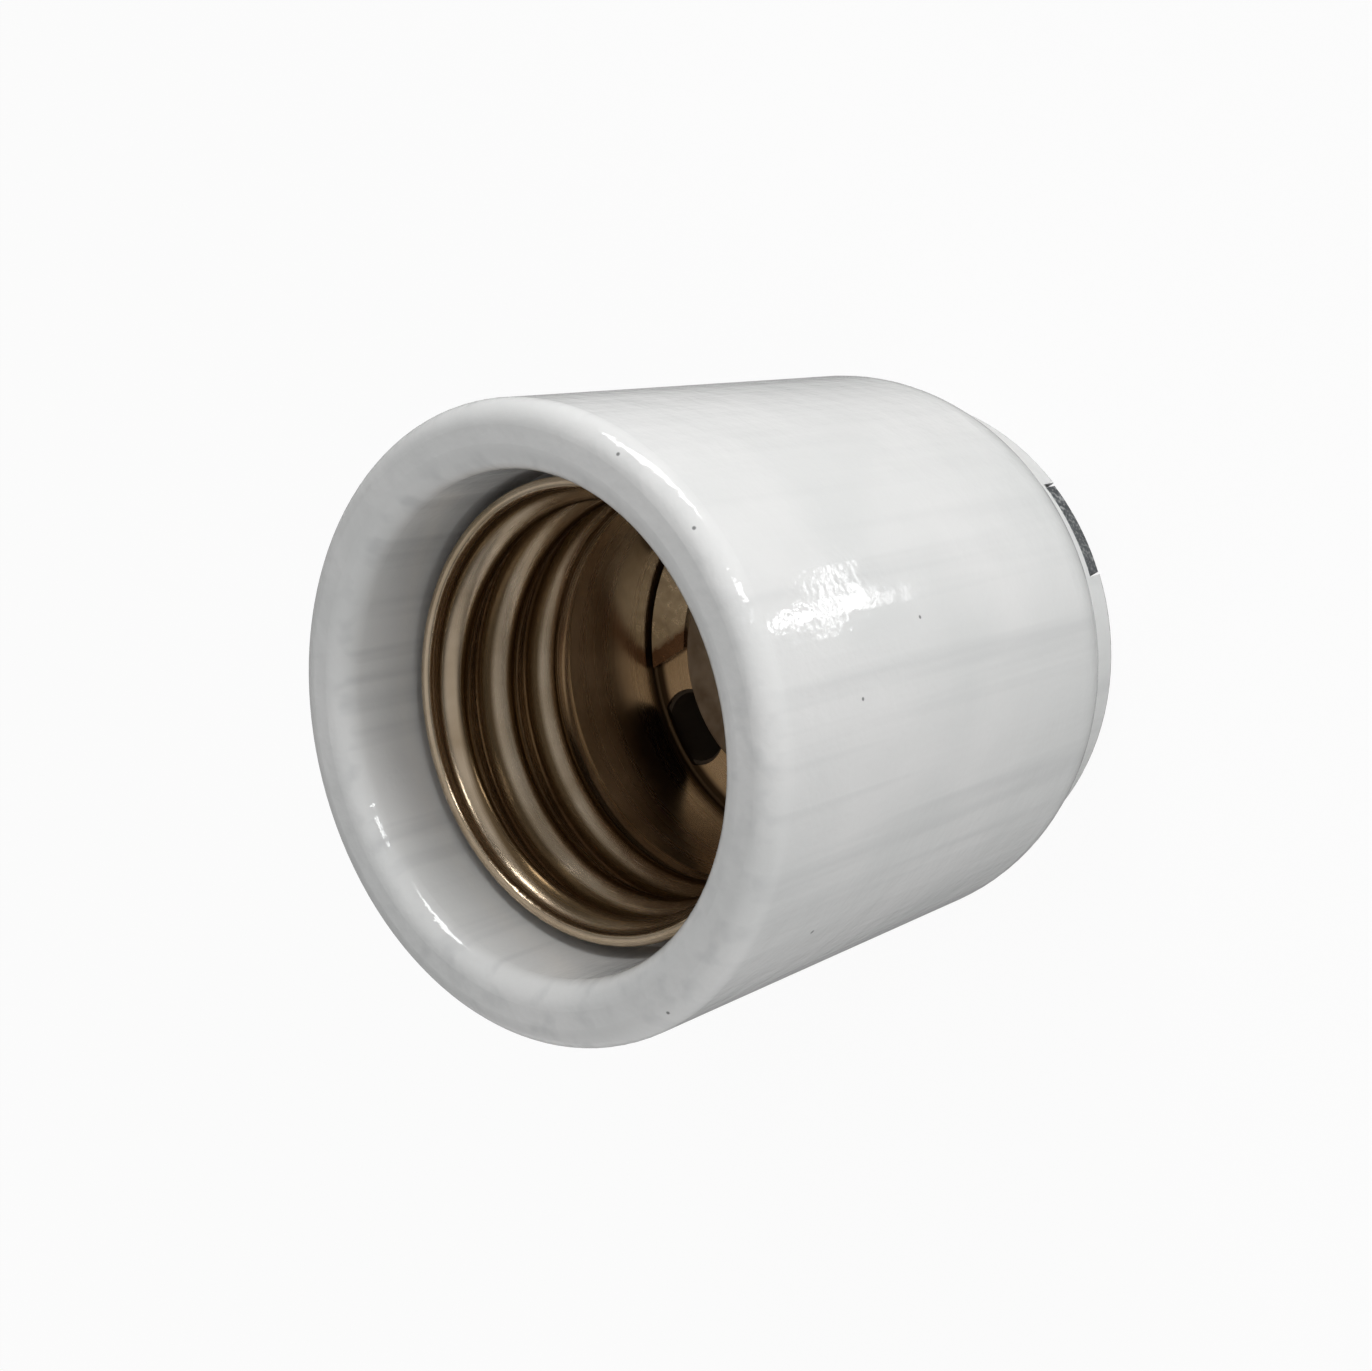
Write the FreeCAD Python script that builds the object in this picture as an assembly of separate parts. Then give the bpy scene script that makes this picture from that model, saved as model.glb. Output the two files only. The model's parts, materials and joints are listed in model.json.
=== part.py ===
import FreeCAD, Part
import math
import os

# Porcelain lamp holder for a large screw lamp, standing on its back with the mouth up.
# Millimetres. +Z runs out of the mouth, X runs along the mounting strap, and the origin
# is the middle of the back face.

Vector = FreeCAD.Vector
UP = Vector(0, 0, 1)

# How far a cutting tool runs past what it cuts
overrun = 1.0

# Screw shell: knuckle thread of the large lamp cap
sheet = 0.45
floor_top = 17.4
smooth_wall_length = 12.6
rim_depth = 8.4
thread_pitch = 6.35
thread_mean_radius = 19.0
thread_wave = 0.875
thread_fade_low = 3.6
thread_fade_high = 2.4
thread_ridge_below_rim = 9.8
thread_ridge_azimuth = 155.0
sections_per_turn = 8
rim_flare = 0.5
rim_bead_radius = 0.55
rim_straight = 0.12
shell_corner_round = 0.8
shell_opening_gap = 0.1

# Porcelain body
body_height = 57.0
shell_side_gap = 0.35
shell_pocket_chamfer = 0.7
mouth_depth = 13.0
mouth_wall = 5.85
shoulder_wall = 6.35
shoulder_round = 9.0
lip_outer_round = 2.1
lip_inner_round = 2.2
collar_wall = 3.7
collar_height = 4.0
collar_ledge = 0.3
collar_edge_round = 0.6
rear_ceiling_height = 8.5
rear_pocket_margin = 5.0
rear_bar_width = 15.0
rear_corner_round = 1.5

# Fixings of the shell
fixing_inset = 3.0
rivet_azimuths = {"a": 65.0, "b": 115.0, "c": 230.0, "d": 310.0}
rivet_radius = 1.5
rivet_hole_radius = 1.6
rivet_head_radius = 2.4
rivet_head_height = 1.3
rivet_upset_radius = 2.3
rivet_upset_height = 1.0
rivet_upset_chamfer = 0.3
rivet_washer_radius = 2.9
rivet_washer_thickness = 0.6
contact_strip_sheet = 0.8
contact_strip_wall_gap = 0.5
contact_strip_insulator_gap = 1.2
contact_strip_end = 7.4
contact_strip_start_azimuth = 100.0
contact_strip_end_azimuth = 162.0
shell_bar_length = 21.0
shell_bar_width = 6.4
shell_bar_corner = 1.6

# Centre contact
insulator_margin = 3.0
insulator_thickness = 2.05
insulator_bore_radius = 8.2
insulator_edge = 0.4
spigot_radius = 9.0
spigot_depth = 2.4
contact_head_radius = 7.8
contact_head_gap = 0.45
contact_head_rim = 1.3
contact_head_crown = 1.0
contact_crown_radius = 3.5
contact_travel = 2.5
stem_radius = 2.0
stem_tip_radius = 1.5
stem_dome_radius = 2.5
stem_dome_height = 0.6
stem_end_length = 0.85
stem_end_chamfer = 0.3
bush_clearance = 0.05
bush_radius = 3.4
bush_flange_radius = 6.2
bush_flange_thickness = 0.8
bush_upset_radius = 4.5
bush_upset_thickness = 0.8
spring_well_radius = 6.8
spring_mean_radius = 5.2
spring_wire_radius = 0.45
spring_turns = 4.25
spring_arcs_per_turn = 4
spring_closed_length = 4.1
clip_radius = 3.2
clip_thickness = 0.6
clip_groove_depth = 0.4
clip_gap = 2.2
contact_well_radius = 5.0

# Terminals
terminal_sheet = 0.8
terminal_offset = 14.0
terminal_pad_width = 9.0
terminal_pad_length = 9.4
terminal_arm_width = 7.0
terminal_arm_gap = 0.2
terminal_eye_radius = 4.8
terminal_lip_height = 2.5
terminal_screw_radius = 1.95
terminal_screw_clearance = 0.05
terminal_shank_length = 4.2
terminal_head_radius = 3.5
terminal_head_height = 2.2
terminal_head_round = 0.5
terminal_slot_width = 1.0
terminal_slot_depth = 1.1
clamp_width = 8.4
clamp_thickness = 1.0
clamp_corner = 0.8
clamp_side_gap = 0.2
screw_end_room_radius = 2.5
screw_end_room_depth = 2.5

# Mounting strap and its screws
strap_width = 9.4
strap_thickness = 2.0
strap_recess = 0.25
strap_end_setback = 0.2
notch_side_gap = 0.3
notch_top_gap = 0.05
mounting_hole_offset = 9.5
mounting_hole_radius = 2.1
mounting_room_radius = 2.8
mounting_room_top = 7.5
strap_screw_radius = 1.75
strap_screw_fit = 0.05
strap_screw_room_radius = 2.0
strap_screw_recess = 0.25
strap_screw_head_radius = 2.9
strap_screw_head_height = 2.2
strap_screw_head_round = 0.7
strap_screw_slot_width = 0.9
strap_screw_slot_depth = 1.0
strap_screw_well_radius = 3.6
strap_screw_well_floor = 8.0
access_hole_radius = 4.0
access_hole_wall_gap = 0.4
lock_washer_thickness = 0.8
lock_washer_gap = 0.7

# Shell and mouth, from the sizes above
floor_underside = floor_top - sheet
thread_low_height = floor_top + smooth_wall_length
rim_height = body_height - rim_depth
thread_high_height = rim_height - rim_bead_radius - rim_straight
thread_ridge_height = rim_height - thread_ridge_below_rim
rim_outer_radius = thread_mean_radius + rim_flare + 2 * rim_bead_radius
shell_pocket_radius = rim_outer_radius + shell_side_gap
mouth_radius = shell_pocket_radius + shell_pocket_chamfer
mouth_outer_radius = mouth_radius + mouth_wall
shoulder_outer_radius = shell_pocket_radius + shoulder_wall
fixing_circle_radius = thread_mean_radius - fixing_inset
rear_pocket_radius = fixing_circle_radius + rear_pocket_margin
collar_radius = rear_pocket_radius + collar_wall

# Contact and its insulator
insulator_radius = fixing_circle_radius - insulator_margin
insulator_top = floor_top + insulator_thickness
insulator_opening_radius = spigot_radius + shell_opening_gap
spigot_end = floor_top - spigot_depth
contact_head_underside = insulator_top + contact_head_gap
contact_head_rim_top = contact_head_underside + contact_head_rim
contact_head_top = contact_head_rim_top + contact_head_crown
spring_seat = contact_head_underside - contact_travel - spring_closed_length
spring_well_floor = spring_seat - bush_flange_thickness
bush_bore_radius = stem_radius + bush_clearance
bush_hole_radius = bush_radius + bush_clearance

# Rear pockets, terminals and strap
terminal_underside = rear_ceiling_height - terminal_sheet
bush_upset_underside = terminal_underside - bush_upset_thickness
clip_top = bush_upset_underside - bush_clearance
clip_low = clip_top - clip_thickness
stem_end_height = clip_low - stem_end_length
clamp_underside = terminal_underside - clamp_thickness
terminal_head_underside = clamp_underside - terminal_head_height
contact_strip_inner_radius = insulator_radius + contact_strip_insulator_gap
contact_strip_outer_radius = thread_mean_radius - contact_strip_wall_gap
strap_end_radius = collar_radius - strap_end_setback
strap_top = strap_recess + strap_thickness
notch_top = strap_top + notch_top_gap
notch_width = strap_width + 2 * notch_side_gap
strap_screw_seat = strap_screw_well_floor + lock_washer_thickness


def cylinder(radius, low, high, x=0.0, y=0.0):
    return Part.makeCylinder(radius, high - low, Vector(x, y, low), UP)


def tube(inner, outer, low, high, x=0.0, y=0.0):
    return cylinder(outer, low, high, x, y).cut(cylinder(inner, low - overrun, high + overrun, x, y))


def block(x_low, x_high, y_low, y_high, z_low, z_high):
    corner = Vector(x_low, y_low, z_low)
    return Part.makeBox(x_high - x_low, y_high - y_low, z_high - z_low, corner)


def rounded_plate(x_half, y_low, y_high, z_low, z_high, corner):
    plate = block(-x_half, x_half, y_low, y_high, z_low, z_high)
    upright = [edge for edge in plate.Edges if abs(edge.tangentAt(edge.FirstParameter).z) > 0.9]
    return plate.makeFillet(corner, upright)


def turned(outline):
    """Full turn about Z of a closed outline of (radius, height) points; a triple is an arc."""
    edges = []
    last = None
    for step in outline:
        points = [Vector(radius, 0, height) for radius, height in step]
        if last is not None and last.distanceToPoint(points[0]) > 1e-7:
            edges.append(Part.LineSegment(last, points[0]).toShape())
        if len(points) == 3:
            edges.append(Part.Arc(*points).toShape())
        if len(points) == 2:
            edges.append(Part.LineSegment(*points).toShape())
        last = points[-1]
    first = Vector(outline[0][0][0], 0, outline[0][0][1])
    if last.distanceToPoint(first) > 1e-7:
        edges.append(Part.LineSegment(last, first).toShape())
    face = Part.Face(Part.Wire(edges))
    return face.revolve(Vector(0, 0, 0), UP, 360)


def quarter(centre_radius, centre_height, size, start, sweep=90.0):
    """Three points of an arc in the outline plane, start and sweep in degrees."""
    points = []
    for part in (0.0, 0.5, 1.0):
        angle = math.radians(start + sweep * part)
        radius = centre_radius + size * math.cos(angle)
        height = centre_height + size * math.sin(angle)
        points.append((radius, height))
    return points


def dome(foot_radius, foot_height, rise):
    """Three points of a cap from its foot to the axis, with the ball's centre on the axis."""
    ball = (foot_radius ** 2 + rise ** 2) / (2 * rise)
    half_angle = math.asin(foot_radius / ball) / 2
    centre = foot_height + rise - ball
    middle = (ball * math.sin(half_angle), centre + ball * math.cos(half_angle))
    return [(foot_radius, foot_height), middle, (0.0, foot_height + rise)]


def on_circle(azimuth, radius=fixing_circle_radius):
    angle = math.radians(azimuth)
    return radius * math.cos(angle), radius * math.sin(angle)


def slot_cut(width, length, low, high, x=0.0, y=0.0):
    return block(x - length / 2, x + length / 2, y - width / 2, y + width / 2, low, high)


# Porcelain body: one pressed and glazed casting
def body_outside():
    centre = shoulder_outer_radius - shoulder_round
    foot = collar_radius + collar_ledge
    foot_angle = math.degrees(math.acos((foot - centre) / shoulder_round))
    shoulder_height = collar_height + shoulder_round * math.sin(math.radians(foot_angle))
    shoulder = quarter(centre, shoulder_height, shoulder_round, -foot_angle, foot_angle)
    edge_centre = collar_radius - collar_edge_round
    edge = quarter(edge_centre, collar_edge_round, collar_edge_round, -90)
    lip_centre = mouth_outer_radius - lip_outer_round
    lip = quarter(lip_centre, body_height - lip_outer_round, lip_outer_round, 0)
    return turned([
        [(0, 0), (edge_centre, 0)],
        edge,
        [edge[-1], (collar_radius, collar_height)],
        shoulder,
        lip,
        [lip[-1], (0, body_height)],
    ])


def mouth_cavity():
    step_height = body_height - mouth_depth
    above = body_height + overrun
    lip_centre = mouth_radius + lip_inner_round
    lip = quarter(lip_centre, body_height - lip_inner_round, lip_inner_round, 90)
    return turned([
        [(0, floor_underside), (shell_pocket_radius, floor_underside)],
        [(shell_pocket_radius, step_height - shell_pocket_chamfer), (mouth_radius, step_height)],
        lip[::-1],
        [(lip_centre, above), (0, above)],
    ])


def rear_pocket(side):
    """One of the two D-shaped wiring pockets, on the +Y or the -Y side of the bar."""
    reach = rear_pocket_radius + overrun
    half = block(-reach, reach, rear_bar_width / 2, reach, -overrun, rear_ceiling_height)
    pocket = cylinder(rear_pocket_radius, -overrun, rear_ceiling_height).common(half)
    upright = [edge for edge in pocket.Edges
               if edge.Length > rear_ceiling_height and edge.Curve.TypeId == "Part::GeomLine"
               and abs(edge.tangentAt(edge.FirstParameter).z) > 0.9]
    pocket = pocket.makeFillet(rear_corner_round, upright)
    if side < 0:
        pocket.rotate(Vector(0, 0, 0), UP, 180)
    return pocket


def make_porcelain_body():
    body = body_outside().cut(mouth_cavity())
    ceiling = rear_ceiling_height
    cuts = [rear_pocket(1), rear_pocket(-1)]
    cuts.append(slot_cut(notch_width, 3 * collar_radius, -overrun, notch_top))
    cuts.append(cylinder(contact_well_radius, -overrun, ceiling))
    arm_room = terminal_arm_width / 2 + terminal_arm_gap
    cuts.append(block(-arm_room, arm_room, -rear_bar_width / 2 - overrun, 0, -overrun, ceiling))
    cuts.append(cylinder(bush_hole_radius, ceiling - overrun, spring_well_floor + overrun))
    cuts.append(cylinder(spring_well_radius, spring_well_floor, floor_top))
    cuts.append(cylinder(insulator_opening_radius, spigot_end - shell_opening_gap, floor_top))
    for side in (-1, 1):
        y = side * terminal_offset
        cuts.append(cylinder(screw_end_room_radius, ceiling - overrun, ceiling + screw_end_room_depth, 0, y))
        x = side * fixing_circle_radius
        cuts.append(cylinder(strap_screw_room_radius, 0, strap_screw_well_floor + overrun, x))
        cuts.append(cylinder(strap_screw_well_radius, strap_screw_well_floor, floor_top, x))
        cuts.append(cylinder(mounting_room_radius, 0, mounting_room_top, side * mounting_hole_offset))
    for azimuth in rivet_azimuths.values():
        cuts.append(cylinder(rivet_hole_radius, ceiling - overrun, floor_top, *on_circle(azimuth)))
    for cut in cuts:
        body = body.cut(cut)
    return body


# Screw shell: drawn cup with the thread rolled into its wall
def fade(height):
    """Depth of the rolled thread at a height, from 0 at its run-outs to 1."""
    rise = (height - thread_low_height) / thread_fade_low
    fall = (thread_high_height - height) / thread_fade_high
    share = max(0.0, min(1.0, rise, fall))
    return share * share * (3 - 2 * share)


def flare(height):
    """Widening of the wall towards the rim, from 0 to 1."""
    share = 1 - (thread_high_height - height) / thread_fade_high
    share = max(0.0, min(1.0, share))
    return share * share * (3 - 2 * share)


def threaded_core(wall):
    """Solid inside the rolled wall; each level section is a circle pushed off the axis."""
    length = thread_high_height - thread_low_height
    count = math.ceil(length / thread_pitch * sections_per_turn)
    sections = []
    for index in range(count + 1):
        height = thread_low_height + length * index / count
        turn = (height - thread_ridge_height) / thread_pitch
        azimuth = math.radians(thread_ridge_azimuth + 360 * turn + 180)
        push = thread_wave * fade(height)
        centre = Vector(push * math.cos(azimuth), push * math.sin(azimuth), height)
        radius = thread_mean_radius + rim_flare * flare(height) + wall
        sections.append(Part.Wire(Part.makeCircle(radius, centre, UP)))
    return Part.makeLoft(sections, True, False)


def cup_core(wall, low):
    """Smooth lower part of the cup, with its drawn corner."""
    radius = thread_mean_radius + wall
    corner = shell_corner_round - sheet + wall
    arc = quarter(radius - corner, low + corner, corner, -90)
    return turned([
        [(0, low), arc[0]],
        arc,
        [(radius, thread_low_height), (0, thread_low_height)],
    ])


def rim_bead():
    """Edge rolled outwards, standing on the wall's top."""
    inner = thread_mean_radius + rim_flare
    height = thread_high_height + rim_straight
    arc = quarter(inner + rim_bead_radius, height, rim_bead_radius, 180, -180)
    return turned([
        [(inner, thread_high_height), arc[0]],
        arc,
        [(arc[-1][0], thread_high_height), (inner, thread_high_height)],
    ])


def make_screw_shell():
    outside = cup_core(sheet, floor_underside).fuse(threaded_core(sheet))
    inside = cup_core(0.0, floor_top).fuse(threaded_core(0.0))
    shell = outside.cut(inside).fuse(rim_bead())
    low = floor_underside - overrun
    high = floor_top + overrun
    shell = shell.cut(cylinder(insulator_opening_radius, low, high))
    keep = cylinder(thread_mean_radius - access_hole_wall_gap, low, high)
    for side in (-1, 1):
        shell = shell.cut(cylinder(access_hole_radius, low, high, side * fixing_circle_radius).common(keep))
    for azimuth in rivet_azimuths.values():
        shell = shell.cut(cylinder(rivet_hole_radius, low, high, *on_circle(azimuth)))
    return shell


def make_shell_contact_strip():
    """Sheet piece in the corner of floor and wall, cut off straight at its open end."""
    top = floor_top + contact_strip_sheet
    low = floor_top - overrun
    high = top + overrun
    reach = 2 * contact_strip_outer_radius
    middle_azimuth = (contact_strip_start_azimuth + contact_strip_end_azimuth) / 2
    hub = Vector(0, 0, low)
    corners = [hub]
    for azimuth in (contact_strip_start_azimuth, middle_azimuth, contact_strip_end_azimuth):
        corners.append(Vector(*on_circle(azimuth, reach), low))
    corners.append(hub)
    sector = Part.Face(Part.makePolygon(corners)).extrude(Vector(0, 0, high - low))
    strip = tube(contact_strip_inner_radius, contact_strip_outer_radius, floor_top, top).common(sector)
    strip = strip.cut(block(-reach, 0, -overrun, contact_strip_end, low, high))
    return strip.cut(cylinder(rivet_hole_radius, low, high, *on_circle(rivet_azimuths["b"])))


# Centre contact, which the lamp pushes in against its spring
def make_contact_insulator():
    edge = insulator_edge
    return turned([
        [(insulator_bore_radius, spigot_end), (spigot_radius, spigot_end)],
        [(spigot_radius, floor_top), (insulator_radius, floor_top)],
        [(insulator_radius, insulator_top - edge), (insulator_radius - edge, insulator_top)],
        [(insulator_bore_radius + edge, insulator_top), (insulator_bore_radius, insulator_top - edge)],
    ])


def make_contact_head():
    """Stamped cap with a rolled edge and a shallow crown."""
    edge = contact_head_rim / 2
    arc = quarter(contact_head_radius - edge, contact_head_underside + edge, edge, -90, 180)
    return turned([
        [(stem_tip_radius, contact_head_underside), arc[0]],
        arc,
        [(contact_crown_radius, contact_head_top), (stem_tip_radius, contact_head_top)],
    ])


def make_contact_stem():
    groove_top = bush_upset_underside
    groove_low = groove_top - clip_thickness - 2 * bush_clearance
    groove_radius = stem_radius - clip_groove_depth
    chamfer = stem_end_chamfer
    return turned([
        [(0, stem_end_height), (stem_radius - chamfer, stem_end_height)],
        [(stem_radius, stem_end_height + chamfer), (stem_radius, groove_low)],
        [(groove_radius, groove_low), (groove_radius, groove_top)],
        [(stem_radius, groove_top), (stem_radius, contact_head_underside)],
        [(stem_tip_radius, contact_head_underside), (stem_tip_radius, contact_head_top)],
        dome(stem_dome_radius, contact_head_top, stem_dome_height),
    ])


def make_contact_spring():
    """Open coil of round wire, swept along short arcs that follow the helix."""
    low = spring_seat + spring_wire_radius
    high = contact_head_underside - spring_wire_radius
    steps = round(2 * spring_turns * spring_arcs_per_turn)
    points = []
    for step in range(steps + 1):
        x, y = on_circle(360 * spring_turns * step / steps, spring_mean_radius)
        points.append(Vector(x, y, low + (high - low) * step / steps))
    arcs = [Part.Arc(*points[step:step + 3]).toShape() for step in range(0, steps, 2)]
    along = arcs[0].tangentAt(arcs[0].FirstParameter)
    section = Part.Wire(Part.makeCircle(spring_wire_radius, points[0], along))
    return Part.Wire(arcs).makePipeShell([section], True, True)


def make_contact_guide_bush():
    flange_top = spring_well_floor + bush_flange_thickness
    return turned([
        [(bush_bore_radius, bush_upset_underside), (bush_upset_radius, bush_upset_underside)],
        [(bush_upset_radius, terminal_underside), (bush_radius, terminal_underside)],
        [(bush_radius, spring_well_floor), (bush_flange_radius, spring_well_floor)],
        [(bush_flange_radius, flange_top), (bush_bore_radius, flange_top)],
    ])


def make_contact_retaining_clip():
    ring = tube(stem_radius - clip_groove_depth, clip_radius, clip_low, clip_top)
    mouth = block(-clip_gap / 2, clip_gap / 2, 0, clip_radius + overrun,
                  clip_low - overrun, clip_top + overrun)
    return ring.cut(mouth)


# Terminals in the rear pockets
def terminal_pad(side):
    half = terminal_pad_length / 2
    middle = side * terminal_offset
    return rounded_plate(terminal_pad_width / 2, middle - half, middle + half,
                         terminal_underside, rear_ceiling_height, clamp_corner)


def tapped(plate, side):
    radius = terminal_screw_radius + terminal_screw_clearance
    hole = cylinder(radius, terminal_underside - overrun, rear_ceiling_height + overrun,
                    0, side * terminal_offset)
    return plate.cut(hole)


def make_contact_terminal():
    """Plate from the guide bush to its screw, with a lip each side of the clamp washer."""
    top = rear_ceiling_height
    eye = cylinder(terminal_eye_radius, terminal_underside, top)
    arm = block(-terminal_arm_width / 2, terminal_arm_width / 2, -terminal_offset, 0, terminal_underside, top)
    plate = eye.fuse(arm).fuse(terminal_pad(-1))
    lip_low = terminal_underside - terminal_lip_height
    lip_half = clamp_width / 2 - clamp_corner
    for side in (-1, 1):
        inner = side * (clamp_width / 2 + clamp_side_gap)
        outer = inner + side * terminal_sheet
        lip = block(min(inner, outer), max(inner, outer), -terminal_offset - lip_half,
                    -terminal_offset + lip_half, lip_low, top)
        plate = plate.fuse(lip)
    plate = tapped(plate.removeSplitter(), -1)
    return plate.cut(cylinder(bush_hole_radius, terminal_underside - overrun, top + overrun))


def make_shell_terminal():
    """Bar riveted through to the shell floor, with its screw in the middle."""
    top = rear_ceiling_height
    rivet_y = on_circle(rivet_azimuths["a"])[1]
    bar = rounded_plate(shell_bar_length / 2, rivet_y - shell_bar_width / 2, rivet_y + shell_bar_width / 2,
                        terminal_underside, top, shell_bar_corner)
    plate = bar.fuse(terminal_pad(1)).removeSplitter()
    for name in ("a", "b"):
        plate = plate.cut(cylinder(rivet_hole_radius, terminal_underside - overrun, top + overrun,
                                   *on_circle(rivet_azimuths[name])))
    return tapped(plate, 1)


def make_terminal_screw(side):
    """Cheese-head screw entered from the back, its head down and slotted."""
    y = side * terminal_offset
    head = cylinder(terminal_head_radius, terminal_head_underside, clamp_underside, 0, y)
    low_edge = [edge for edge in head.Edges if abs(edge.CenterOfMass.z - terminal_head_underside) < 1e-6]
    head = head.makeFillet(terminal_head_round, low_edge)
    slot = slot_cut(terminal_slot_width, 3 * terminal_head_radius, terminal_head_underside - overrun,
                    terminal_head_underside + terminal_slot_depth, 0, y)
    shank = cylinder(terminal_screw_radius, clamp_underside, clamp_underside + terminal_shank_length, 0, y)
    return head.cut(slot).fuse(shank).removeSplitter()


def make_clamp_washer(side):
    """Square saddle washer that stays under the screw's head and grips the wire."""
    y = side * terminal_offset
    half = clamp_width / 2
    washer = rounded_plate(half, y - half, y + half, clamp_underside, terminal_underside, clamp_corner)
    radius = terminal_screw_radius + terminal_screw_clearance
    return washer.cut(cylinder(radius, clamp_underside - overrun, terminal_underside + overrun, 0, y))


# Rivets that hold the shell's floor on the porcelain
def make_rivet(name):
    x, y = on_circle(rivet_azimuths[name])
    base = floor_top
    if name == "b":
        base = floor_top + contact_strip_sheet
    seat = terminal_underside
    if name in ("c", "d"):
        seat = rear_ceiling_height - rivet_washer_thickness
    upset_low = seat - rivet_upset_height
    rivet = turned([
        [(0, upset_low), (rivet_upset_radius - rivet_upset_chamfer, upset_low)],
        [(rivet_upset_radius, upset_low + rivet_upset_chamfer), (rivet_upset_radius, seat)],
        [(rivet_radius, seat), (rivet_radius, base)],
        dome(rivet_head_radius, base, rivet_head_height),
    ])
    rivet.translate(Vector(x, y, 0))
    return rivet


def make_rivet_washer(name):
    top = rear_ceiling_height
    place = on_circle(rivet_azimuths[name])
    return tube(rivet_hole_radius, rivet_washer_radius, top - rivet_washer_thickness, top, *place)


# Mounting strap across the back, and the screws that hold it
def make_mounting_strap():
    length = 2 * strap_end_radius
    strap = slot_cut(strap_width, length, strap_recess, strap_top)
    strap = strap.common(cylinder(strap_end_radius, strap_recess, strap_top))
    for side in (-1, 1):
        mounting_x = side * mounting_hole_offset
        strap = strap.cut(cylinder(mounting_hole_radius, 0, strap_top + overrun, mounting_x))
        radius = strap_screw_radius + strap_screw_fit
        strap = strap.cut(cylinder(radius, 0, strap_top + overrun, side * fixing_circle_radius))
    return strap


def make_strap_screw(side):
    x = side * fixing_circle_radius
    top = strap_screw_seat + strap_screw_head_height
    head = cylinder(strap_screw_head_radius, strap_screw_seat, top, x)
    top_edge = [edge for edge in head.Edges if abs(edge.CenterOfMass.z - top) < 1e-6]
    head = head.makeFillet(strap_screw_head_round, top_edge)
    slot = slot_cut(strap_screw_slot_width, 3 * strap_screw_head_radius,
                    top - strap_screw_slot_depth, top + overrun, x)
    shank = cylinder(strap_screw_radius, strap_recess + strap_screw_recess, strap_screw_seat, x)
    return head.cut(slot).fuse(shank).removeSplitter()


def make_lock_washer(side):
    """Split spring washer under a strap screw's head."""
    x = side * fixing_circle_radius
    low = strap_screw_well_floor
    ring = tube(strap_screw_radius + strap_screw_fit, strap_screw_head_radius, low, strap_screw_seat, x)
    split = block(x - lock_washer_gap / 2, x + lock_washer_gap / 2, 0, strap_screw_head_radius + overrun,
                  low - overrun, strap_screw_seat + overrun)
    return ring.cut(split)


parts = {
    "porcelain_body": make_porcelain_body(),
    "screw_shell": make_screw_shell(),
    "shell_contact_strip": make_shell_contact_strip(),
    "contact_insulator": make_contact_insulator(),
    "contact_head": make_contact_head(),
    "contact_stem": make_contact_stem(),
    "contact_spring": make_contact_spring(),
    "contact_guide_bush": make_contact_guide_bush(),
    "contact_retaining_clip": make_contact_retaining_clip(),
    "contact_terminal": make_contact_terminal(),
    "shell_terminal": make_shell_terminal(),
    "contact_terminal_screw": make_terminal_screw(-1),
    "shell_terminal_screw": make_terminal_screw(1),
    "contact_clamp_washer": make_clamp_washer(-1),
    "shell_clamp_washer": make_clamp_washer(1),
    "mounting_strap": make_mounting_strap(),
    "strap_screw_left": make_strap_screw(-1),
    "strap_screw_right": make_strap_screw(1),
    "strap_lock_washer_left": make_lock_washer(-1),
    "strap_lock_washer_right": make_lock_washer(1),
}
for rivet_name in rivet_azimuths:
    parts["shell_rivet_" + rivet_name] = make_rivet(rivet_name)
for rivet_name in ("c", "d"):
    parts["rivet_washer_" + rivet_name] = make_rivet_washer(rivet_name)

os.makedirs("parts", exist_ok=True)
for node, shape in parts.items():
    shape.exportStep("parts/" + node + ".step")
    print(node, len(shape.Solids), "solid", round(shape.Volume, 1), "mm3", "valid", shape.isValid())
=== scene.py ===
import bmesh
import bpy
import json
import math
from mathutils import Matrix, Vector


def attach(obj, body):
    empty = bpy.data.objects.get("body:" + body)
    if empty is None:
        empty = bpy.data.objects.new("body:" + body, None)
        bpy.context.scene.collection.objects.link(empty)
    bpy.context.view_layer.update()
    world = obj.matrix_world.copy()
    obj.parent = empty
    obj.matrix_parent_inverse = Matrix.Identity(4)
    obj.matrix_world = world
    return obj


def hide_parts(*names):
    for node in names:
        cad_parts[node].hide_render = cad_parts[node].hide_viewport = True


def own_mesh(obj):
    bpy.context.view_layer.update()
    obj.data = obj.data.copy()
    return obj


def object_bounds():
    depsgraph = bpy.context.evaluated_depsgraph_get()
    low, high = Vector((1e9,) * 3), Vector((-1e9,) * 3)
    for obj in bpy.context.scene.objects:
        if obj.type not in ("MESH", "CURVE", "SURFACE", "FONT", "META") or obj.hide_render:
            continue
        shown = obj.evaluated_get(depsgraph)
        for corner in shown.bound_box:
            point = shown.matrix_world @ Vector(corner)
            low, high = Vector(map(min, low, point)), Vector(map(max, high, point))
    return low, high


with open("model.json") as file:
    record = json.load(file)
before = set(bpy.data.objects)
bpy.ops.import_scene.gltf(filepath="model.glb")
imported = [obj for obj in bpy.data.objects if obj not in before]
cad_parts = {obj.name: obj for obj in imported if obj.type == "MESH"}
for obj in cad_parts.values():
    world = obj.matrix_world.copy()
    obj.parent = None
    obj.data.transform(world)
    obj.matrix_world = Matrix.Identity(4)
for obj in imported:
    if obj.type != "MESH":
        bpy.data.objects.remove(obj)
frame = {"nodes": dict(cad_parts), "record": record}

# Porcelain lamp holder with a rolled screw shell, standing on its back with the mouth up.
# Metres, in the frame's own axes. Sizes that are easier to read in millimetres carry MM.
MM = 0.001
CAD_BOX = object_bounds()

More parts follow.
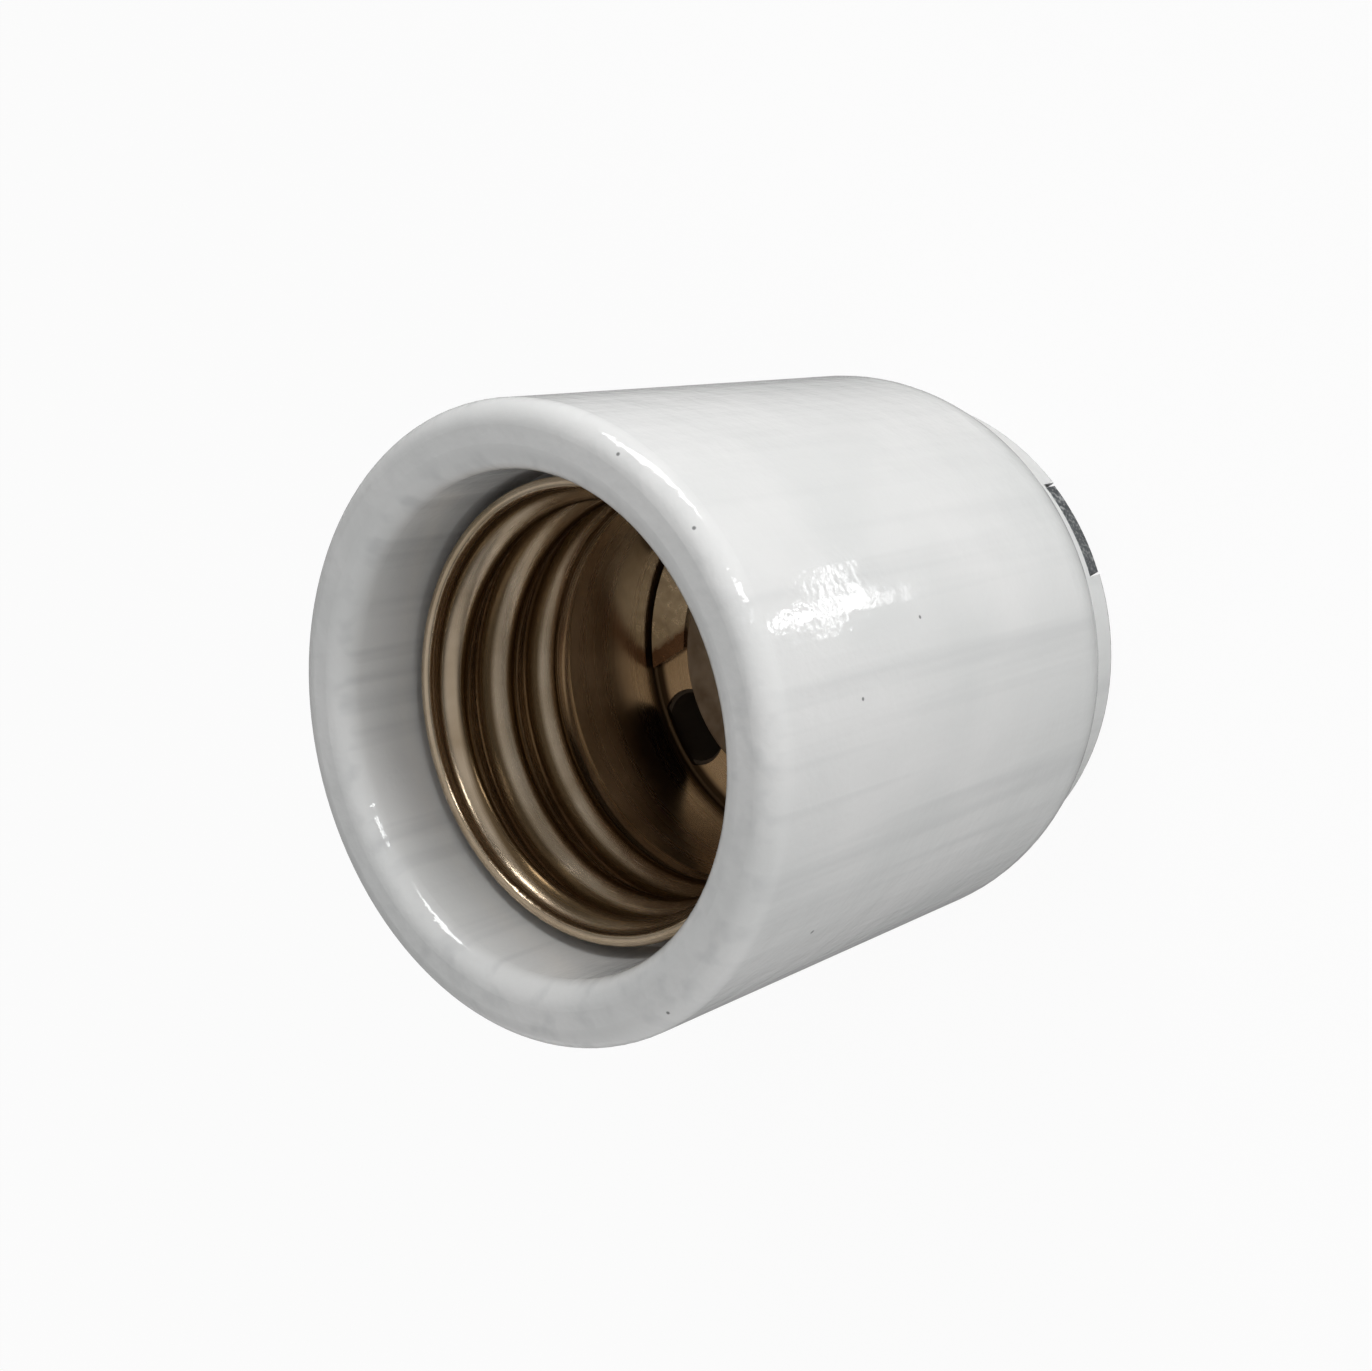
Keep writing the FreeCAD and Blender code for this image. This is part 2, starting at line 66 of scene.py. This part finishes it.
# Thread rolled into the shell: pitch, a point on its ridge, and the heights over which it
# fades in and out
THREAD_PITCH = 6.35 * MM
THREAD_RIDGE_AZIMUTH = 155.0
THREAD_RIDGE_HEIGHT = 38.8 * MM
THREAD_START = (30.0 * MM, 33.0 * MM)
THREAD_END = (46.7 * MM, 47.9 * MM)
# The line on the thread where the highlight falls: its height above the ridge, and the distances
# from it over which the painted shade starts and ends, in pitches
HIGHLIGHT_LINE = 0.2
PAINTED_SHADE_START = (0.06, 0.12)
PAINTED_SHADE_END = (0.22, 0.34)

# Bands over which one finish gives way to the next. Heights:
FOOT_EDGE = (0.02 * MM, 0.06 * MM)
WELL_BOTTOM = (8.6 * MM, 8.9 * MM)
WELL_TOP = (17.3 * MM, 17.8 * MM)
CORNER_TOP = (17.7 * MM, 18.6 * MM)
# Distances from the axis:
CORNER_START = (17.4 * MM, 18.1 * MM)
WELL_WALL = (20.8 * MM, 21.2 * MM)
MOUTH_WALL = (22.4 * MM, 23.4 * MM)
# Places along Y:
DRAGGED_SIDE = (-10.0 * MM, 4.0 * MM)
TIN_EDGE = (9.3 * MM, 10.1 * MM)
TIN_RAGGEDNESS = 1.2 * MM
# Parts of a noise's values that are stretched to the full range
WIDE = (0.3, 0.7)
MIDDLE = (0.35, 0.65)
# Scale that draws the press's drag lines out along the axis
DRAWN_OUT = (1.0, 1.0, 0.035)
# Edge of the faint specks in the glaze, in steps from one to the next
SPECK_EDGE = (0.012, 0.024)

# Dark flecks in the glaze, where the photograph shows them, in millimetres
FLECKS = {
    "lip, right": (26.18, 5.28, 56.54),
    "lip, top": (22.66, 13.62, 56.72),
    "wall, behind the gleam": (26.8, -5.71, 35.36),
    "wall, middle": (25.27, -10.7, 45.29),
    "lip, low": (2.85, -26.31, 56.7),
}
FLECK_RADIUS = 0.1 * MM

# Camera of the photograph. Its lens and sensor are in millimetres.
CAMERA_PLACE = Vector((117.5, -30.2, 171.6)) * MM
CAMERA_RIGHT = Vector((0.64364, -0.41390, -0.64373))
CAMERA_UP = Vector((0.41728, 0.89489, -0.15817))
CAMERA_FORWARD = Vector((-0.64154, 0.16681, -0.74873))
CAMERA_LENS = 52.57
SENSOR_WIDTH = 36.0
NEAREST_SEEN = 0.01
FARTHEST_SEEN = 20.0

# Soft boxes round the lamp holder: azimuth and elevation in degrees, distance, width, height,
# and power in watts
SOFT_BOXES = {
    "key_box": (50.0, 6.0, 0.6, 0.5, 0.16, 2.8),
    "side_box": (8.0, 2.5, 0.6, 0.45, 0.11, 1.55),
    "low_box": (-50.0, 2.5, 0.6, 0.45, 0.11, 1.5),
    "back_box": (205.0, 6.0, 0.6, 0.45, 0.16, 1.3),
    "under_box": (180.0, -80.0, 0.6, 0.45, 0.3, 1.3),
}
# These only fill shadows, so the gloss doesn't show them
FILL_BOXES = ("low_box", "back_box", "under_box")
# Small low strips that only the gloss shows: place and aim in millimetres, width, height, power
GLEAMS = {
    "gleam_bar": ((52.0, -0.7, 12.0), (27.5, -2.4, 47.0), 0.0014, 0.015, 0.0005),
    "gleam_end": ((56.2, -3.4, 14.9), (27.5, -2.4, 47.0), 0.005, 0.003, 0.0005),
    "gleam_patch": ((50.2, -2.2, 10.8), (27.5, -2.4, 47.0), 0.003, 0.004, 0.00024),
    "glint_strip": ((50.5, -2.6, 4.5), (27.5, -3.4, 36.0), 0.0012, 0.003, 0.00006),
}
# The room is dim up to the first sine of elevation, and at its brightest from the second
ROOM_SINES = (0.42, 0.72)
ROOM_LIGHTS = (0.13, 0.47)

# The floor is a ring round the foot. The camera sees its glow, so that it shows as white.
FLOOR_RADIUS = 4.0
FOOT_OPENING = 23.6 * MM
FLOOR_SEGMENTS = 96
FLOOR_GLOW = 0.93


def linear(code):
    """sRGB hex code as a linear colour."""
    channels = [int(code[place:place + 2], 16) / 255 for place in (1, 3, 5)]
    return [c / 12.92 if c <= 0.04045 else ((c + 0.055) / 1.055) ** 2.4 for c in channels] + [1.0]


def add(tree, kind, inputs=(), output=0, **settings):
    """Adds one shader node and gives one of its outputs. Its inputs are numbers, colours and
    other nodes' outputs, in a list in the node's own order or in a dict by name or number."""
    node = tree.nodes.new("ShaderNode" + kind)
    for name, value in settings.items():
        setattr(node, name, value)
    for name, value in inputs.items() if isinstance(inputs, dict) else enumerate(inputs):
        if isinstance(value, bpy.types.NodeSocket):
            tree.links.new(value, node.inputs[name])
        else:
            node.inputs[name].default_value = value
    return node.outputs[output] if node.outputs else None


def feature(size_mm):
    """Texture scale that gives features of this size."""
    return 1 / (size_mm * MM)


def overlap(tree, share, *others):
    """Share where all of these shares hold at once."""
    for other in others:
        share = add(tree, "Math", [share, other], operation="MULTIPLY")
    return share


def axis_distance(tree, place):
    """Distance from the lamp holder's axis, and the height, of a place."""
    parts = add(tree, "SeparateXYZ", [place]).node.outputs
    flat = add(tree, "CombineXYZ", [parts["X"], parts["Y"]])
    return add(tree, "VectorMath", [flat], "Value", operation="LENGTH"), parts["Z"]


def start_material(name, metallic, roughness, colour):
    """Material with plain values, which show where its nodes don't. Gives its tree and shader
    too, and the place in the object's own axes."""
    material = bpy.data.materials.new(name)
    material.use_nodes = True
    tree = material.node_tree
    shader = tree.nodes["Principled BSDF"]
    shader.inputs["Metallic"].default_value = metallic
    shader.inputs["Roughness"].default_value = roughness
    shader.inputs["Base Color"].default_value = linear(colour)
    return material, tree, shader, add(tree, "TexCoord", output="Object")


def cover(tree, shader, ground, layers, roughness, relief):
    """Finishes a surface. The ground is a colour, and each layer over it is a share and a
    colour. The relief is bumps, each a height from 0 to 1 and its real depth in millimetres."""
    colour = linear(ground)
    for share, code in layers:
        colour = add(tree, "Mix", {0: share, 6: colour, 7: linear(code)}, 2, data_type="RGBA")
    tree.links.new(colour, shader.inputs["Base Color"])
    tree.links.new(roughness, shader.inputs["Roughness"])
    bumped = None
    for height, depth in relief:
        inputs = {"Height": height, "Distance": depth * MM, "Strength": 1.0}
        if bumped is not None:
            inputs["Normal"] = bumped
        bumped = add(tree, "Bump", inputs)
    tree.links.new(bumped, shader.inputs["Normal"])


def flecks(tree, place):
    """Share of iron fleck: faint specks all over, and the flecks that the photograph shows."""
    from_speck = add(tree, "TexVoronoi", {"Vector": place, "Scale": feature(11.0)})
    faint = 0.8
    fleck = add(tree, "MapRange", [from_speck, *SPECK_EDGE, faint, 0.0])
    for spot in FLECKS.values():
        away = add(tree, "VectorMath", [place, Vector(spot) * MM], "Value", operation="DISTANCE")
        near = add(tree, "MapRange", [away, FLECK_RADIUS, FLECK_RADIUS * 2, 1.0, 0.0])
        fleck = add(tree, "Math", [fleck, near], operation="MAXIMUM")
    return fleck


# Glazed porcelain: a white body under a clear glossy glaze. The glaze pools and thins, so it is
# gently wavy, follows the drag lines of the press along the axis, and holds a few iron flecks.
# The drag lines show most in the mouth, and on one side of the outside. The foot that stands in
# the kiln is wiped bare and stays matt, and so are the wells behind the shell's floor, which are
# painted dark brown as shade. The grit of the body is drawn coarse enough to show.
def glazed_porcelain():
    glossy, matt = 0.07, 0.8
    material, tree, shader, place = start_material("glazed_porcelain", 0.0, glossy, "#E6E6E4")
    shader.inputs["IOR"].default_value = 1.5
    clouds = add(tree, "TexNoise", {"Vector": place, "Scale": feature(16.0)})
    waves = add(tree, "TexNoise", {"Vector": place, "Scale": feature(3.0)})
    grit = add(tree, "TexNoise", {"Vector": place, "Scale": feature(0.5)})
    drawn_out = add(tree, "Mapping", {"Vector": place, "Scale": DRAWN_OUT})
    drag = add(tree, "TexNoise", {"Vector": drawn_out, "Scale": feature(2.2)})

    radius, height = axis_distance(tree, place)
    across = add(tree, "SeparateXYZ", [place], "Y")
    in_mouth, dragged, cleaner = 0.75, 0.5, 0.15
    outside = add(tree, "MapRange", [across, *DRAGGED_SIDE, dragged, cleaner])
    strength = add(tree, "MapRange", [radius, *MOUTH_WALL, in_mouth, outside])
    drag_lines = overlap(tree, add(tree, "MapRange", [drag, 0.5, 0.72]), strength)

    bare = add(tree, "MapRange", [height, *FOOT_EDGE, 1.0, 0.0])
    below_floor = add(tree, "MapRange", [height, *WELL_TOP, 1.0, 0.0])
    above_bottom = add(tree, "MapRange", [height, *WELL_BOTTOM])
    within_wall = add(tree, "MapRange", [radius, *WELL_WALL, 1.0, 0.0])
    # Painted shade: dark brown in the wells behind the shell's floor
    painted_well_shade = overlap(tree, below_floor, above_bottom, within_wall)
    unglazed = add(tree, "Math", [bare, painted_well_shade], operation="MAXIMUM")

    layers = [
        (add(tree, "MapRange", [clouds, *MIDDLE]), "#E0E1E0"),
        (drag_lines, "#CFD0D0"),
        (flecks(tree, place), "#858686"),
        (bare, "#D9D3C6"),
        # Painted shade of the wells
        (painted_well_shade, "#5E5142"),
    ]
    roughness = add(tree, "MapRange", [unglazed, 0.0, 1.0, glossy, matt])
    relief = [(drag, 0.08), (waves, 0.09), (grit, 0.018)]
    cover(tree, shader, "#E9E9E8", layers, roughness, relief)
    return material


def distance_from_line(tree, place):
    """Distance of a place from the line above the thread's ridge where the highlight falls, in
    pitches, up to 0.5.
    """
    parts = add(tree, "SeparateXYZ", [place]).node.outputs
    turn = add(tree, "Math", [parts["Y"], parts["X"]], operation="ARCTAN2")
    start = THREAD_RIDGE_AZIMUTH / 360 - THREAD_RIDGE_HEIGHT / THREAD_PITCH - HIGHLIGHT_LINE
    rise = add(tree, "Math", [parts["Z"], 1 / THREAD_PITCH, start], operation="MULTIPLY_ADD")
    above = add(tree, "Math", [turn, -0.5 / math.pi, rise], operation="MULTIPLY_ADD")
    return add(tree, "Math", [above, 0.5], operation="PINGPONG")


def thread_painted_shade(tree, place, height):
    """Share of painted shade on the thread, which lies on both sides of the highlight line."""
    away = distance_from_line(tree, place)
    off_line = add(tree, "MapRange", [away, *PAINTED_SHADE_START])
    near_line = add(tree, "MapRange", [away, *PAINTED_SHADE_END, 1.0, 0.0])
    above_start = add(tree, "MapRange", [height, *THREAD_START])
    below_end = add(tree, "MapRange", [height, *THREAD_END, 1.0, 0.0])
    return overlap(tree, off_line, near_line, above_start, below_end)


# Nickel-plated rolled brass: a thin warm mirror, drawn and rolled round the axis, so its fine
# lines run round; they are drawn coarse enough to show. The plate is cloudy where it has
# tarnished, and dull brown in the floor's corner. Brown painted shade lies along the thread, on
# both sides of the line above each ridge where the highlight falls.
def nickel_plated_brass():
    material, tree, shader, place = start_material("nickel_plated_brass", 1.0, 0.26, "#C9B8A4")
    radius, height = axis_distance(tree, place)
    round_axis = add(tree, "CombineXYZ", {"X": radius, "Z": height})
    rolled = add(tree, "TexNoise", {"Vector": round_axis, "Scale": feature(0.35)})
    clouds = add(tree, "TexNoise", {"Vector": place, "Scale": feature(6.0), "Detail": 3.0})
    low = add(tree, "MapRange", [height, *CORNER_TOP, 1.0, 0.0])
    corner = overlap(tree, low, add(tree, "MapRange", [radius, *CORNER_START]))
    layers = [
        (add(tree, "MapRange", [clouds, 0.35, 0.7]), "#BFA98C"),
        (corner, "#6A563F"),
        # Painted shade along the thread, beside the line where the highlight falls
        (thread_painted_shade(tree, place, height), "#806A4E"),
    ]
    smooth, lined, dulling = 0.23, 0.29, 0.3
    plate = add(tree, "MapRange", [rolled, *WIDE, smooth, lined])
    roughness = add(tree, "Math", [corner, dulling, plate], operation="MULTIPLY_ADD")
    cover(tree, shader, "#DECAB0", layers, roughness, [(rolled, 0.00006), (clouds, 0.006)])
    return material


# Tinned bronze strip, wiped while the tin was wet: dull silver that stops short of the sheared
# end, where the copper shows
def tinned_bronze():
    material, tree, shader, place = start_material("tinned_bronze", 1.0, 0.3, "#C9BCA6")
    wiped = add(tree, "TexNoise", {"Vector": place, "Scale": feature(0.9), "Detail": 3.0})
    along = add(tree, "SeparateXYZ", [place], "Y")
    edge = add(tree, "Math", [wiped, TIN_RAGGEDNESS, along], operation="MULTIPLY_ADD")
    layers = [
        (add(tree, "MapRange", [wiped, *WIDE]), "#C9BDA8"),
        (add(tree, "MapRange", [edge, *TIN_EDGE, 1.0, 0.0]), "#7D604A"),
    ]
    roughness = add(tree, "MapRange", [wiped, *WIDE, 0.22, 0.4])
    cover(tree, shader, "#DCD2C0", layers, roughness, [(wiped, 0.01)])
    return material


# Pressed mica board: brown, faintly flaky, semi-matt
def mica_board():
    material, tree, shader, place = start_material("mica_board", 0.0, 0.45, "#8C7660")
    flakes = add(tree, "TexVoronoi", {"Vector": place, "Scale": feature(0.8)})
    clouds = add(tree, "TexNoise", {"Vector": place, "Scale": feature(3.0), "Detail": 3.0})
    layers = [
        (add(tree, "MapRange", [clouds, *MIDDLE]), "#8C745A"),
        (add(tree, "MapRange", [flakes, 0.1, 0.6, 0.3, 0.0]), "#B09C84"),
    ]
    roughness = add(tree, "MapRange", [clouds, *WIDE, 0.36, 0.55])
    cover(tree, shader, "#AC967E", layers, roughness, [(flakes, 0.01)])
    return material


# Zinc-plated steel strap and washers: dull blue-grey plate with spangle, dark in its pits, with
# pale specks of zinc oxide, which has no metal's shine
def zinc_plated_steel():
    material, tree, shader, place = start_material("zinc_plated_steel", 1.0, 0.42, "#8F9294")
    spangle = add(tree, "TexVoronoi", {"Vector": place, "Scale": feature(1.1)}, "Color")
    grain = add(tree, "TexNoise", {"Vector": place, "Scale": feature(0.25), "Detail": 3.0})
    powder = add(tree, "TexNoise", {"Vector": place, "Scale": feature(0.35), "Detail": 3.0})
    pits = add(tree, "MapRange", [grain, 0.55, 0.75, 0.0, 0.6])
    oxide = add(tree, "MapRange", [powder, 0.52, 0.62, 0.0, 0.8])
    layers = [
        (add(tree, "SeparateXYZ", [spangle], "X"), "#85888B"),
        (pits, "#5C5F62"),
        (oxide, "#B9BBBA"),
    ]
    roughness = add(tree, "MapRange", [grain, *WIDE, 0.34, 0.55])
    cover(tree, shader, "#9A9DA0", layers, roughness, [(grain, 0.008)])
    metallic = add(tree, "MapRange", [oxide, 0.0, 1.0, 1.0, 0.2])
    tree.links.new(metallic, shader.inputs["Metallic"])
    return material


def grained_metal(name, light, dark, smooth, rough, grain_mm, depth_mm):
    """Bare or plated metal whose grain varies its gloss, with clouds nine grains wide that vary
    its colour. The grain is drawn coarse enough to show."""
    material, tree, shader, place = start_material(name, 1.0, smooth, light)
    grain = add(tree, "TexNoise", {"Vector": place, "Scale": feature(grain_mm), "Detail": 4.0})
    clouds = add(tree, "TexNoise", {"Vector": place, "Scale": feature(grain_mm * 9)})
    layers = [(add(tree, "MapRange", [clouds, *MIDDLE]), dark)]
    roughness = add(tree, "MapRange", [grain, *WIDE, smooth, rough])
    cover(tree, shader, light, layers, roughness, [(grain, depth_mm)])
    return material


# Turned brass of the stem, bush, terminals and washers: bright yellow with brown clouds
def turned_brass():
    return grained_metal("turned_brass", "#BD9E62", "#A0844E", 0.2, 0.38, 0.2, 0.004)


# Spring steel of the coil, clip and lock washers, drawn or stamped: clean cold grey
def spring_steel():
    return grained_metal("spring_steel", "#8C8E92", "#74777B", 0.25, 0.4, 0.2, 0.003)


# Nickel-plated steel of the screws: warm dark grey, gone dull
def nickel_plated_steel():
    return grained_metal("nickel_plated_steel", "#6B665C", "#545049", 0.34, 0.5, 0.25, 0.004)


# Finish for each of the record's material slots
FINISHES = {
    "glazed_porcelain": glazed_porcelain(),
    "nickel_plated_brass": nickel_plated_brass(),
    "tinned_bronze": tinned_bronze(),
    "mica_board": mica_board(),
    "brass": turned_brass(),
    "spring_steel": spring_steel(),
    "nickel_plated_steel": nickel_plated_steel(),
    "zinc_plated_steel": zinc_plated_steel(),
}


def dress_cad_nodes():
    """Gives every CAD node the finish of its material slot."""
    for row in frame["record"]["subparts"]:
        mesh = frame["nodes"][row["node"]].data
        mesh.materials.clear()
        mesh.materials.append(FINISHES[row["material_slot"]])


def sprung_coil():
    """The contact's spring, seated in its well: a copy of its CAD node's mesh on the holder's body.
    """
    node = frame["nodes"]["contact_spring"]
    coil = bpy.data.objects.new("sprung_coil", node.data.copy())
    bpy.context.scene.collection.objects.link(coil)
    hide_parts("contact_spring")
    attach(coil, "holder")
    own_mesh(coil)


def pale_floor():
    """Matt pale paper that keeps the shadow, glows for the camera alone and is clear from below."""
    material = bpy.data.materials.new("pale_floor")
    material.use_nodes = True
    tree = material.node_tree
    tree.nodes.clear()
    seen = add(tree, "LightPath", output="Is Camera Ray")
    greys = {0: seen, 6: linear("#B0B0B0"), 7: linear("#F2F2F2")}
    paper = add(tree, "BsdfDiffuse", {"Color": add(tree, "Mix", greys, 2, data_type="RGBA")})
    glow = add(tree, "Emission", {"Color": linear("#FFFFFF"), "Strength": 1.0})
    share = add(tree, "Math", [seen, FLOOR_GLOW], operation="MULTIPLY")
    from_above = add(tree, "MixShader", [share, paper, glow])
    below = add(tree, "NewGeometry", output="Backfacing")
    one_sided = add(tree, "MixShader", [below, from_above, add(tree, "BsdfTransparent")])
    add(tree, "OutputMaterial", {"Surface": one_sided})
    return material


def floor():
    """Plain floor, open under the foot, so that the lamp holder's back is lit and seen."""
    mesh = bmesh.new()
    for radius in (FLOOR_RADIUS, FOOT_OPENING):
        bmesh.ops.create_circle(mesh, cap_ends=False, segments=FLOOR_SEGMENTS, radius=radius)
    bmesh.ops.bridge_loops(mesh, edges=mesh.edges[:])
    bmesh.ops.recalc_face_normals(mesh, faces=mesh.faces[:])
    if mesh.faces[:][0].normal.z < 0:
        bmesh.ops.reverse_faces(mesh, faces=mesh.faces[:])
    data = bpy.data.meshes.new("floor")
    mesh.to_mesh(data)
    mesh.free()
    data.materials.append(pale_floor())
    ground = bpy.data.objects.new("floor", data)
    bpy.context.scene.collection.objects.link(ground)


def room():
    """Grey light all round, dim near the floor and brighter overhead; the camera sees it white."""
    world = bpy.data.worlds.new("studio")
    bpy.context.scene.world = world
    world.use_nodes = True
    tree = world.node_tree
    tree.nodes.clear()
    direction = add(tree, "TexCoord", output="Generated")
    up = add(tree, "SeparateXYZ", [direction], "Z")
    light = add(tree, "MapRange", [up, *ROOM_SINES, *ROOM_LIGHTS])
    seen = add(tree, "LightPath", output="Is Camera Ray")
    strength = add(tree, "Math", [light, seen], operation="MAXIMUM")
    sky = add(tree, "Background", {"Color": linear("#FFFFFF"), "Strength": strength})
    add(tree, "OutputWorld", {"Surface": sky})


def soft_box(name, place, aim, width, height, power):
    """Rectangular lamp that the camera doesn't see."""
    light = bpy.data.lights.new(name, "AREA")
    light.shape = "RECTANGLE"
    light.size = width
    light.size_y = height
    light.energy = power
    lamp = bpy.data.objects.new(name, light)
    bpy.context.scene.collection.objects.link(lamp)
    lamp.location = place
    lamp.rotation_euler = (aim - place).to_track_quat("-Z", "Z").to_euler()
    lamp.visible_camera = False
    return lamp


def lamps():
    """Soft boxes aimed at the middle of the lamp holder, and the gleams in its glaze."""
    middle = (CAD_BOX[0] + CAD_BOX[1]) / 2
    for name, (azimuth, elevation, distance, width, height, power) in SOFT_BOXES.items():
        turn = math.radians(azimuth)
        tilt = math.radians(elevation)
        level = math.cos(tilt)
        away = Vector((level * math.cos(turn), level * math.sin(turn), math.sin(tilt)))
        box = soft_box(name, middle + away * distance, middle, width, height, power)
        box.visible_glossy = name not in FILL_BOXES
    for name, (place, aim, width, height, power) in GLEAMS.items():
        gleam = soft_box(name, Vector(place) * MM, Vector(aim) * MM, width, height, power)
        gleam.visible_diffuse = False


def camera():
    """Camera at the photograph's viewing angle."""
    lens = bpy.data.cameras.new("camera")
    lens.lens = CAMERA_LENS
    lens.sensor_width = SENSOR_WIDTH
    lens.clip_start = NEAREST_SEEN
    lens.clip_end = FARTHEST_SEEN
    viewer = bpy.data.objects.new("camera", lens)
    bpy.context.scene.collection.objects.link(viewer)
    turn = Matrix((CAMERA_RIGHT, CAMERA_UP, -CAMERA_FORWARD)).transposed()
    viewer.matrix_world = Matrix.Translation(CAMERA_PLACE) @ turn.to_4x4()
    bpy.context.scene.camera = viewer


dress_cad_nodes()
sprung_coil()
floor()
room()
lamps()
camera()
bpy.context.scene.view_settings.view_transform = "Standard"
